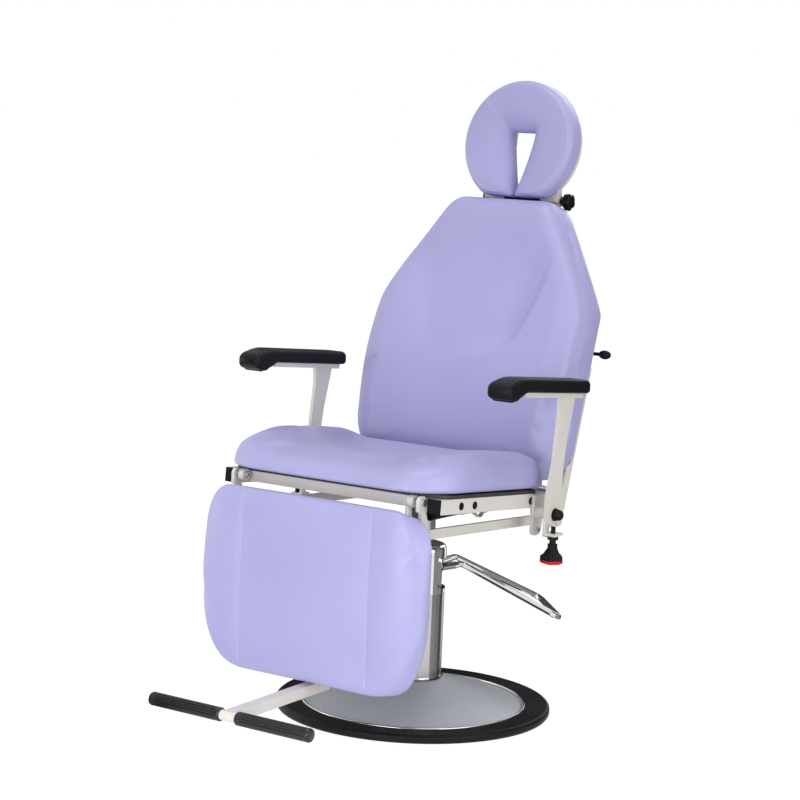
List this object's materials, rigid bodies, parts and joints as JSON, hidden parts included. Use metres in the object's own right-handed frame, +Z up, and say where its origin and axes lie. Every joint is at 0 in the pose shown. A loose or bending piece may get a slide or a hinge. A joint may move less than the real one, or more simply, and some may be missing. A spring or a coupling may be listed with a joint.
{
  "type": "treatment chair",
  "caption": "Treatment chair with padded seat, linked backrest and leg rest, slotted headrest, lifting armrests, sliding footrest and foot-pumped swivel column.",
  "frame": {"origin": "middle of the round base, on the floor", "axes": "+Z up, the sitter faces -Y, +X is at the sitter's left hand"},
  "size_m": [0.7185, 1.057, 1.3751],
  "materials": {
    "lilac_vinyl": "smooth lilac vinyl upholstery",
    "cream_enamel": "cream enamel on steel",
    "satin_steel": "satin",
    "chrome": "polished",
    "black_plastic": "black moulded",
    "black_rubber": "black ribbed",
    "dark_board": "dark painted plywood"
  },
  "bodies": {
    "base": {"base_plate": "satin_steel", "base_cover": "satin_steel", "base_rim": "black_rubber", "column_tube": "satin_steel", "column_foot_ring": "chrome", "pump_housing": "chrome", "column_cap": "chrome", "pump_cylinder": "satin_steel"},
    "pedal": {"pedal_yoke": "satin_steel", "pedal_loop": "chrome"},
    "ram": {"lift_ram": "chrome"},
    "seat": {"swivel_hub": "satin_steel", "seat_mount": "satin_steel", "seat_rail_left": "cream_enamel", "seat_rail_right": "cream_enamel", "rail_plug_left": "black_plastic", "rail_plug_right": "black_plastic", "front_crossbar": "cream_enamel", "rear_crossbar": "cream_enamel", "leg_hinge_pin_left": "satin_steel", "leg_hinge_pin_right": "satin_steel", "rear_bracket_left": "cream_enamel", "rear_bracket_right": "cream_enamel", "arm_pivot_cap_left": "black_plastic", "arm_pivot_cap_right": "black_plastic", "gas_cylinder": "black_plastic", "gas_clamp": "satin_steel", "seat_board": "dark_board", "seat_cushion": "lilac_vinyl"},
    "backrest": {"back_cushion": "lilac_vinyl", "back_board": "dark_board", "back_arm_left": "cream_enamel", "back_arm_right": "cream_enamel", "recline_shaft": "satin_steel", "gas_lever": "satin_steel", "headrest_bracket": "black_plastic", "headrest_axle": "black_plastic"},
    "legrest": {"leg_cushion": "lilac_vinyl", "leg_board": "dark_board", "leg_lug_left": "cream_enamel", "leg_lug_right": "cream_enamel", "footrest_guide": "cream_enamel"},
    "footrest_lock": {"footrest_knob": "black_plastic"},
    "footrest": {"footrest_stem": "cream_enamel", "footrest_grip_left": "black_rubber", "footrest_grip_right": "black_rubber"},
    "link_left": {"link_bar_left": "cream_enamel"},
    "link_right": {"link_bar_right": "cream_enamel"},
    "gas_piston": {"gas_rod": "chrome"},
    "headrest": {"headrest_plate": "cream_enamel", "headrest_pad": "lilac_vinyl"},
    "headrest_clamp": {"headrest_knob": "black_plastic"},
    "recline_release": {"recline_lever": "black_plastic"},
    "armrest_left": {"arm_post_left": "cream_enamel", "arm_pad_left": "black_plastic"},
    "armrest_right": {"arm_post_right": "cream_enamel", "arm_pad_right": "black_plastic"},
    "arm_stop_left": {"arm_screw_left": "black_plastic"},
    "arm_stop_right": {"arm_screw_right": "black_plastic"}
  },
  "joints": [
    {"name": "pedal_press", "type": "hinge", "parent": "base", "child": "pedal", "pos_m": [0.03114, 0.02965, 0.315], "axis": [-0.6896, 0.7242, 0], "range_deg": [0, 18], "stiffness_Nm_per_rad": 8, "springref_deg": -17.19},
    {"name": "seat_lift", "type": "slide", "parent": "base", "child": "ram", "axis": [0, 0, 1], "range_m": [0, 0.18]},
    {"name": "seat_swivel", "type": "hinge", "parent": "ram", "child": "seat", "pos_m": [0, 0, 0.4], "axis": [0, 0, 1], "continuous": true},
    {"name": "recline", "type": "hinge", "parent": "seat", "child": "backrest", "pos_m": [0, 0.085, 0.50437], "axis": [-1, 0, 0], "range_deg": [0, 65]},
    {"name": "leg_raise", "type": "hinge", "parent": "seat", "child": "legrest", "pos_m": [0, -0.348, 0.526], "axis": [-1, 0, 0], "range_deg": [0, 65]},
    {"name": "link_turn_left", "type": "hinge", "parent": "legrest", "child": "link_left", "pos_m": [0.226, -0.336, 0.456], "axis": [-1, 0, 0], "range_deg": [-65, 0]},
    {"name": "link_turn_right", "type": "hinge", "parent": "legrest", "child": "link_right", "pos_m": [-0.226, -0.336, 0.456], "axis": [-1, 0, 0], "range_deg": [-65, 0]},
    {"name": "gas_stroke", "type": "slide", "parent": "seat", "child": "gas_piston", "axis": [0, -1, 0], "range_m": [0, 0.04348]},
    {"name": "foot_extend", "type": "slide", "parent": "legrest", "child": "footrest", "axis": [0, 0, -1], "range_m": [0, 0.06]},
    {"name": "foot_lock_turn", "type": "hinge", "parent": "legrest", "child": "footrest_lock", "pos_m": [0, -0.3198, 0.3175], "axis": [1, 0, 0], "range_deg": [0, 360]},
    {"name": "head_tilt", "type": "hinge", "parent": "backrest", "child": "headrest", "pos_m": [0, 0.37451, 1.10691], "axis": [-1, 0, 0], "range_deg": [0, 40]},
    {"name": "head_clamp_turn", "type": "hinge", "parent": "backrest", "child": "headrest_clamp", "pos_m": [0, 0.37451, 1.10691], "axis": [1, 0, 0], "range_deg": [0, 180]},
    {"name": "recline_release_turn", "type": "hinge", "parent": "backrest", "child": "recline_release", "pos_m": [0.203, 0.2851, 0.78344], "axis": [0, 0.9573, -0.289], "range_deg": [0, 15], "stiffness_Nm_per_rad": 0.8, "springref_deg": -11.46},
    {"name": "arm_lift_left", "type": "hinge", "parent": "seat", "child": "armrest_left", "pos_m": [0.319, 0.022, 0.468], "axis": [-1, 0, 0], "range_deg": [0, 75]},
    {"name": "arm_lift_right", "type": "hinge", "parent": "seat", "child": "armrest_right", "pos_m": [-0.319, 0.022, 0.468], "axis": [-1, 0, 0], "range_deg": [0, 75]},
    {"name": "arm_stop_turn_left", "type": "hinge", "parent": "armrest_left", "child": "arm_stop_left", "pos_m": [0.336, -0.002, 0.43], "axis": [0, 0, 1], "continuous": true},
    {"name": "arm_stop_turn_right", "type": "hinge", "parent": "armrest_right", "child": "arm_stop_right", "pos_m": [-0.336, -0.002, 0.43], "axis": [0, 0, 1], "continuous": true}
  ],
  "couplings": [
    {"joint": "leg_raise", "follows": "recline", "ratio": 1},
    {"joint": "link_turn_left", "follows": "recline", "ratio": -1},
    {"joint": "link_turn_right", "follows": "recline", "ratio": -1},
    {"joint": "gas_stroke", "follows": "recline", "m_per_rad": 0.037889}
  ]
}
